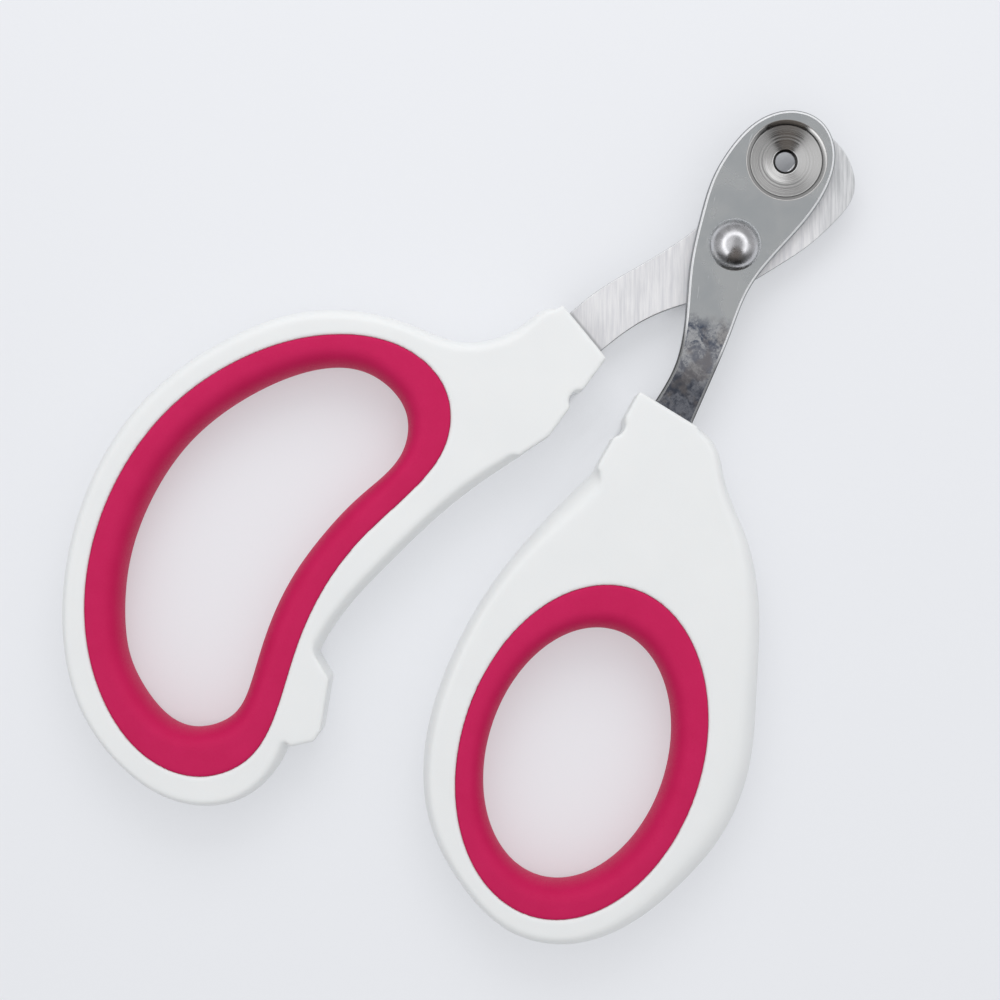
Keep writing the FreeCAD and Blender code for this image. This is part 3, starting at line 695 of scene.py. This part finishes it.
class Finish(Nodes):
    """A material under construction."""

    def __init__(self, name, **settings):
        self.material = bpy.data.materials.new(name)
        self.material.use_nodes = True
        super().__init__(self.material.node_tree)
        self.shader = next(item for item in self.tree.nodes if item.type == "BSDF_PRINCIPLED")
        for socket, value in settings.items():
            self.shader.inputs[socket.replace("_", " ").title().replace("Ior", "IOR")].default_value = value
        self.place = self.tree.nodes.new("ShaderNodeTexCoord").outputs["Object"]

    def stretched(self, turn=0.0, scale=(1, 1, 1)):
        """Coordinates turned about Z by an angle in degrees and then scaled."""
        turned = self.node("Mapping", {"Vector": self.place, "Rotation": (0, 0, math.radians(-turn))})
        return self.vector("MULTIPLY", turned.outputs[0], scale)

    def noise(self, size, detail=3.0, roughness=0.5, vector=None, distortion=0.0):
        """Noise whose features are about the given size, in metres, as a value from 0 to 1."""
        inputs = {"Vector": vector or self.place, "Scale": 1 / size, "Detail": detail,
                  "Roughness": roughness, "Distortion": distortion}
        return self.node("TexNoise", inputs).outputs["Fac"]

    def from_pivot(self):
        """The step from the pivot to each point, as they are at rest."""
        return self.vector("SUBTRACT", self.place, (PIVOT.x, PIVOT.y, 0))

    def feed(self, socket, value):
        """Link a node's output to one of the shader's inputs."""
        self.tree.links.new(value, self.shader.inputs[socket])

    def bump(self, *layers):
        """Bumps one over another, each a height from 0 to 1 and its depth in metres."""
        normal = None
        for height, depth in layers:
            inputs = {"Height": height, "Distance": depth, "Strength": 1.0}
            if normal:
                inputs["Normal"] = normal
            normal = self.node("Bump", inputs).outputs["Normal"]
        self.feed("Normal", normal)


# ---------------------------------------------------------------- finishes

def white_plastic():
    """The handles: slightly translucent plastic with a fine satin grain."""
    finish = Finish("white_plastic", roughness=0.5, ior=1.46, subsurface_weight=0.12, subsurface_scale=0.0015)
    finish.shader.inputs["Subsurface Radius"].default_value = (1.0, 0.9, 0.85)
    cloud = finish.noise(9 * MM, detail=2)
    finish.feed("Base Color", finish.blend(cloud, (0.80, 0.81, 0.81), (0.84, 0.845, 0.84)))
    grain = finish.noise(0.35 * MM, detail=2)
    finish.feed("Roughness", finish.ramp(finish.noise(2 * MM), 0.3, 0.7, 0.42, 0.56))
    finish.bump((grain, 0.006 * MM), (cloud, 0.03 * MM))
    return finish.material


def magenta_rubber():
    """The grips: soft, dull rubber."""
    finish = Finish("magenta_rubber", ior=1.4, specular_ior_level=0.35)
    cloud = finish.noise(4 * MM, detail=3)
    finish.feed("Base Color", finish.blend(cloud, (0.52, 0.004, 0.078), (0.58, 0.009, 0.098)))
    grain = finish.noise(0.22 * MM, detail=3, roughness=0.6)
    finish.feed("Roughness", finish.ramp(grain, 0.3, 0.7, 0.48, 0.68))
    finish.bump((grain, 0.010 * MM), (cloud, 0.03 * MM))
    return finish.material


def polished_steel():
    """Clouded grey steel whose arm has a painted blue-black reflection towards the handle."""
    finish = Finish("polished_steel", metallic=1.0)
    cloud = finish.noise(5 * MM, detail=3, distortion=0.4)
    clean = finish.blend(finish.ramp(cloud, 0.3, 0.7), (0.61, 0.64, 0.65), (0.66, 0.68, 0.68))
    from_pivot = finish.from_pivot()
    reach = finish.vector("LENGTH", finish.vector("MULTIPLY", from_pivot, (1, 1, 0)))
    # painted dark reflection: it starts with a dark band some way down the arm, and gets darker again near
    # the handle
    arm = finish.ramp(finish.vector("DOT_PRODUCT", from_pivot, (0, -1, 0)), 0, 4 * MM)
    ragged = finish.math("MULTIPLY", finish.noise(3.2 * MM, detail=5, roughness=0.6), 6 * MM)
    edge = finish.math("ADD", reach, ragged)
    dark_reflection_share = finish.math("MULTIPLY", arm, finish.ramp(edge, 14.0 * MM, 16.5 * MM))
    first = finish.band(edge, 14.5 * MM, 16.5 * MM, 18 * MM, 20.5 * MM)
    near_handle = finish.ramp(edge, 21.5 * MM, 26.5 * MM)
    spots = finish.noise(0.5 * MM, detail=5, roughness=0.75, distortion=0.6)
    dark = finish.blend(near_handle, (0.27, 0.28, 0.32), (0.08, 0.09, 0.115))
    light = finish.blend(near_handle, (0.62, 0.63, 0.64), (0.25, 0.26, 0.29))
    dark = finish.blend(first, dark, (0.12, 0.145, 0.20))
    blotches = finish.noise(2.4 * MM, detail=4, roughness=0.6, distortion=0.8)
    mixed = finish.math("ADD", finish.math("MULTIPLY", spots, 0.45), finish.math("MULTIPLY", blotches, 0.55))
    painted_reflection = finish.blend(finish.ramp(mixed, 0.42, 0.59), dark, light)
    brown = finish.math("MULTIPLY", finish.ramp(finish.noise(3.5 * MM), 0.5, 0.6), 0.35)
    painted_reflection = finish.blend(brown, painted_reflection, (0.36, 0.32, 0.29))
    # short scratches in patches
    along = finish.stretched(turn=25, scale=(1, 0.12, 1))
    marks = finish.noise(0.35 * MM, detail=2, vector=along, distortion=0.8)
    patches = finish.ramp(finish.noise(4 * MM, detail=2), 0.50, 0.62)
    scratched = finish.math("MULTIPLY", finish.ramp(marks, 0.64, 0.72), finish.math("MULTIPLY", patches, 0.6))
    clean = finish.blend(scratched, clean, (0.92, 0.93, 0.93))
    finish.feed("Base Color", finish.blend(dark_reflection_share, clean, painted_reflection))
    hairs = finish.noise(0.5 * MM, detail=4, vector=finish.stretched(turn=60, scale=(1, 0.05, 1)))
    finish.feed("Roughness", finish.ramp(cloud, 0.3, 0.7, 0.20, 0.29))
    finish.bump((hairs, 0.003 * MM), (cloud, 0.012 * MM))
    return finish.material


def turned_steel():
    """The dish, with the fine rings of its turning."""
    finish = Finish("turned_steel", metallic=1.0, anisotropic=0.35)
    centre = in_frame([(*DISH_CENTRE, 0.0)], 1)[0]
    spoke = finish.vector("MULTIPLY", finish.vector("SUBTRACT", finish.place, tuple(centre)), (1, 1, 0))
    radius = finish.vector("LENGTH", spoke)
    finish.feed("Tangent", finish.vector("NORMALIZE", finish.vector("CROSS_PRODUCT", spoke, (0, 0, 1))))
    inputs = {"W": radius, "Scale": 1 / (0.25 * MM), "Detail": 4.0}
    rings = finish.node("TexNoise", inputs, noise_dimensions="1D").outputs["Fac"]
    cone = finish.blend(rings, (0.47, 0.467, 0.455), (0.67, 0.667, 0.655))
    foot = DISH_FOOT_RADIUS * MM
    # the hole's lead is painted near black, as shade down the hole
    in_lead = finish.ramp(radius, foot, foot - 0.05 * MM)
    # painted shade in the corner of the step
    in_step = finish.band(radius, 5.28 * MM, 5.42 * MM, 5.5 * MM, 5.62 * MM)
    painted_shade = finish.blend(finish.math("MULTIPLY", in_step, 0.6), cone, (0.12, 0.12, 0.12))
    finish.feed("Base Color", finish.blend(in_lead, painted_shade, (0.10, 0.10, 0.10)))
    finish.feed("Roughness", finish.ramp(rings, 0.3, 0.7, 0.12, 0.24))
    finish.bump((rings, 0.004 * MM))
    return finish.material


def brushed_steel():
    """The lower blade, brushed across its length and darker towards its head."""
    finish = Finish("brushed_steel", metallic=0.6)
    across = finish.stretched(turn=37, scale=(1, 0.06, 1))
    grain = finish.noise(0.5 * MM, detail=6, roughness=0.65, vector=across)
    shade = finish.ramp(grain, 0.32, 0.68)
    from_pivot = finish.from_pivot()
    head = finish.ramp(finish.vector("DOT_PRODUCT", from_pivot, (0.55, 0.83, 0)), 8 * MM, 20 * MM)
    arm = finish.blend(shade, (0.84, 0.838, 0.862), (1.0, 0.995, 1.0))
    clean = finish.blend(head, arm, finish.blend(shade, (0.61, 0.62, 0.63), (0.87, 0.875, 0.885)))
    # painted shade where it comes out of the handle: a faint wide fall-off and a thin contact shadow, in this
    # direction, from a face this far behind the pivot
    front, out_of_handle = 25.98 * MM, (0.2297, 0.973, 0)
    clear = finish.math("ADD", finish.vector("DOT_PRODUCT", from_pivot, out_of_handle), front)
    painted_joint_shade = finish.ramp(clear, 6 * MM, 0, 0, 0.12)
    painted_contact_shadow = finish.ramp(clear, 0.95 * MM, 0.5 * MM, 0, 0.5)
    painted_shade = finish.math("ADD", painted_joint_shade, painted_contact_shadow)
    finish.feed("Base Color", finish.blend(painted_shade, clean, (0.30, 0.30, 0.31)))
    finish.feed("Roughness", finish.ramp(grain, 0.3, 0.7, 0.32, 0.5))
    finish.bump((grain, 0.012 * MM))
    return finish.material


def edge_steel(name, colour, metallic):
    """The narrow sides and bevels of the blades."""
    finish = Finish(name, metallic=metallic)
    cloud = finish.noise(0.7 * MM, detail=3)
    clean = finish.blend(cloud, tuple(0.88 * share for share in colour), colour)
    # painted dark reflection: darker down the arm towards the handle, as on the polished face
    dark_reflection_share = finish.ramp(finish.vector("DOT_PRODUCT", finish.from_pivot(), (0, -1, 0)), 13 * MM, 17 * MM)
    finish.feed("Base Color", finish.blend(dark_reflection_share, clean, tuple(0.3 * share for share in colour)))
    finish.feed("Roughness", finish.ramp(cloud, 0.3, 0.7, 0.38, 0.5))
    finish.bump((cloud, 0.004 * MM))
    return finish.material


def rivet_steel():
    """The rivet, a little uneven from being pressed."""
    finish = Finish("rivet_steel", metallic=1.0)
    cloud = finish.noise(1.2 * MM, detail=3)
    finish.feed("Base Color", finish.blend(cloud, (0.56, 0.56, 0.575), (0.68, 0.68, 0.69)))
    finish.feed("Roughness", finish.ramp(cloud, 0.3, 0.7, 0.2, 0.32))
    finish.bump((cloud, 0.01 * MM))
    return finish.material


def washer_steel():
    """The washer, duller than the rivet."""
    finish = Finish("washer_steel", metallic=1.0)
    rings = finish.noise(0.3 * MM, detail=3)
    finish.feed("Base Color", finish.blend(rings, (0.5, 0.5, 0.5), (0.66, 0.66, 0.66)))
    finish.feed("Roughness", finish.ramp(rings, 0.3, 0.7, 0.3, 0.45))
    finish.bump((rings, 0.006 * MM))
    return finish.material


def floor_paper():
    """Pale paper with a painted glow, which lifts its shadows and fades wherever the object covers it
    closely.
    """
    finish = Finish("floor_paper", roughness=0.75)
    finish.shader.inputs["Emission Color"].default_value = (0.96, 0.975, 1.0, 1)
    # painted light: the glow that softens the paper's shadows, less where it is closely covered
    open_sky = finish.node("AmbientOcclusion", {"Distance": 12 * MM}).outputs["AO"]
    finish.feed("Emission Strength", finish.ramp(open_sky, 0.15, 0.37, 0.0, 0.40))
    cloud = finish.noise(60 * MM, detail=2)
    finish.feed("Base Color", finish.blend(cloud, (0.42, 0.425, 0.445), (0.43, 0.435, 0.455)))
    finish.bump((finish.noise(0.8 * MM), 0.01 * MM))
    return finish.material


def add_pieces():
    """The eight pieces, each with its finishes."""
    plastic, rubber, steel = white_plastic(), magenta_rubber(), polished_steel()
    oval_edge, oval_hole = ellipse(OVAL_GRIP), ellipse(OVAL_HOLE)
    kidney_edge, kidney_hole = kidney_edges()
    right_handle = handle_mesh(RIGHT_OUTLINE, [RIGHT_BLOCK], RIGHT_NOTCH, oval_edge, UPPER_TANG, UPPER_FLOOR)
    left_blocks = [LEFT_BLOCK, STOP_TAB]
    left_handle = handle_mesh(LEFT_OUTLINE, left_blocks, LEFT_NOTCH, kidney_edge, LOWER_TANG, LOWER_FLOOR)
    add_piece("right_handle_moulding", "right_handle", "right", "white_plastic", [plastic], *right_handle)
    add_piece("left_handle_moulding", "left_handle", "left", "white_plastic", [plastic], *left_handle)
    add_piece("right_grip_sleeve", "right_grip", "right", "magenta_rubber", [rubber],
              *grip_mesh(oval_edge, oval_hole))
    add_piece("left_grip_sleeve", "left_grip", "left", "magenta_rubber", [rubber],
              *grip_mesh(kidney_edge, kidney_hole))
    # the blades' walls: sheared steel, duller than the faces, with a dark colour that also paints the shade
    # along the blades' edges
    wall = edge_steel("sheared_edge_and_shade", (0.34, 0.35, 0.36), 1.0)
    bevel = edge_steel("ground_edge", (0.95, 0.955, 0.96), 0.5)
    add_piece("upper_blade_plate", "upper_blade", "right", "polished_steel",
              [steel, turned_steel(), wall, bevel], *upper_blade_mesh())
    add_piece("lower_blade_plate", "lower_blade", "left", "brushed_steel", [brushed_steel(), wall],
              *lower_blade_mesh())
    add_piece("rivet_turned", "pivot_rivet", "right", "rivet_steel", [rivet_steel()], *rivet_mesh())
    add_piece("washer_turned", "rivet_washer", "right", "washer_steel", [washer_steel()], *washer_mesh())


# ---------------------------------------------------------------- floor, light and camera

# The camera looks straight down from this height, in metres, over this place in millimetres.
CAMERA_PLACE = (-2.69, -4.05)
CAMERA_HEIGHT = 0.33
CAMERA_TURN = 37.35
LENS = 77.2

# The way along the floor to the light, which is up in the camera's view, the dome's strength away from it and
# towards it, and the softbox: its angle over the floor, its distance and size in metres and its power.
LIGHT_SIDE = Vector((-0.607, 0.795, 0))
DOME_LEVELS = (0.72, 1.04)
SOFTBOX_ELEVATION = 45
SOFTBOX_DISTANCE = 0.36
SOFTBOX_SIZE = (0.28, 0.20)
SOFTBOX_POWER = 0.36


def add_floor():
    bpy.ops.mesh.primitive_plane_add(size=4.0)
    floor = bpy.context.object
    floor.name = "floor"
    floor.data.materials.append(floor_paper())


def add_softbox():
    """A softbox that faces the middle of the floor. It gives light, but isn't seen or mirrored."""
    data = bpy.data.lights.new("softbox", "AREA")
    data.shape = "RECTANGLE"
    data.size, data.size_y = SOFTBOX_SIZE
    data.energy = SOFTBOX_POWER
    softbox = bpy.data.objects.new("softbox", data)
    bpy.context.scene.collection.objects.link(softbox)
    elevation = math.radians(SOFTBOX_ELEVATION)
    direction = (LIGHT_SIDE * math.cos(elevation) + Vector((0, 0, math.sin(elevation)))).normalized()
    softbox.location = direction * SOFTBOX_DISTANCE
    softbox.rotation_euler = direction.to_track_quat("Z", "Y").to_euler()
    softbox.visible_glossy = softbox.visible_camera = False


def add_world():
    """A pale studio: an even dome gives the light, and gloss shows a ceiling with bright and dark parts."""
    world = bpy.data.worlds.new("studio")
    world.use_nodes = True
    bpy.context.scene.world = world
    world.node_tree.nodes.clear()
    studio = Nodes(world.node_tree)
    towards = studio.node("TexCoord").outputs["Generated"]
    up = studio.vector("DOT_PRODUCT", towards, (0, 0, 1))
    side = studio.vector("DOT_PRODUCT", towards, tuple(LIGHT_SIDE))
    dome = studio.math("MULTIPLY", studio.ramp(side, -1, 1, *DOME_LEVELS), studio.ramp(up, 0, 1, 0.48, 1.16))
    across = studio.vector("DOT_PRODUCT", towards, tuple(LIGHT_SIDE.cross(Vector((0, 0, 1)))))
    # how far from overhead, as a sine
    tilt = studio.math("SQRT", studio.math("SUBTRACT", 1.0001, studio.math("MULTIPLY", up, up)))
    # a brown part of the ceiling that starts overhead and widens away from the light, lighter in its middle
    half_width = studio.math("SUBTRACT", 0.16, studio.math("MULTIPLY", side, 0.6))
    from_middle = studio.math("ABSOLUTE", studio.math("SUBTRACT", across, 0.10))
    beside = studio.math("SUBTRACT", from_middle, half_width)
    shade = studio.math("MULTIPLY", studio.ramp(beside, 0.04, -0.04), studio.ramp(side, -0.08, -0.18))
    brown = studio.blend(studio.ramp(beside, -0.10, -0.22), (0.08, 0.075, 0.075), (0.34, 0.30, 0.275))
    ceiling = studio.blend(shade, (1, 1, 1.02), brown)
    # a bright ring that the brown part breaks, and parts of the rest that are lighter or darker
    arch = studio.band(tilt, 0.56, 0.65, 0.74, 0.84)
    arch = studio.math("MULTIPLY", arch, studio.math("SUBTRACT", 1.5, studio.math("MULTIPLY", shade, 1.45)))
    left = studio.math("MULTIPLY", studio.ramp(across, -0.02, -0.22), studio.ramp(up, 0.75, 0.9, 0.0, 0.40))
    low = studio.math("MULTIPLY", studio.ramp(up, 0.5, 0.0), studio.ramp(across, 0.7, 0.2, 0.0, 0.14))
    far = studio.ramp(side, 0.15, 0.45, 0.0, 0.06)
    near = studio.math("MULTIPLY", studio.ramp(side, -0.2, -0.6), studio.ramp(up, 0.7, 0.4, 0.0, 0.40))
    darker = studio.math("ADD", low, studio.math("ADD", far, near))
    level = studio.math("SUBTRACT", studio.math("ADD", 0.5, left), darker)
    room = studio.math("ADD", level, arch)
    ray = studio.node("LightPath")
    lit = studio.node("Background", {"Color": (0.975, 0.985, 1, 1), "Strength": dome}).outputs[0]
    gloss = studio.node("Background", {"Color": ceiling, "Strength": room}).outputs[0]
    seen = studio.node("Background", {"Color": (0.80, 0.81, 0.84, 1)}).outputs[0]
    inner = studio.node("MixShader", {0: ray.outputs["Is Glossy Ray"], 1: lit, 2: gloss}).outputs[0]
    outer = studio.node("MixShader", {0: ray.outputs["Is Camera Ray"], 1: inner, 2: seen}).outputs[0]
    studio.node("OutputWorld", {"Surface": outer})


def add_camera():
    data = bpy.data.cameras.new("camera")
    data.lens = LENS
    data.sensor_width = 36
    data.clip_start, data.clip_end = 0.01, 10
    camera = bpy.data.objects.new("camera", data)
    bpy.context.scene.collection.objects.link(camera)
    camera.location = (CAMERA_PLACE[0] * MM, CAMERA_PLACE[1] * MM, CAMERA_HEIGHT)
    camera.rotation_euler = (0, 0, math.radians(CAMERA_TURN))
    bpy.context.scene.camera = camera


add_pieces()
add_floor()
add_softbox()
add_world()
add_camera()
bpy.context.scene.view_settings.view_transform = "Standard"
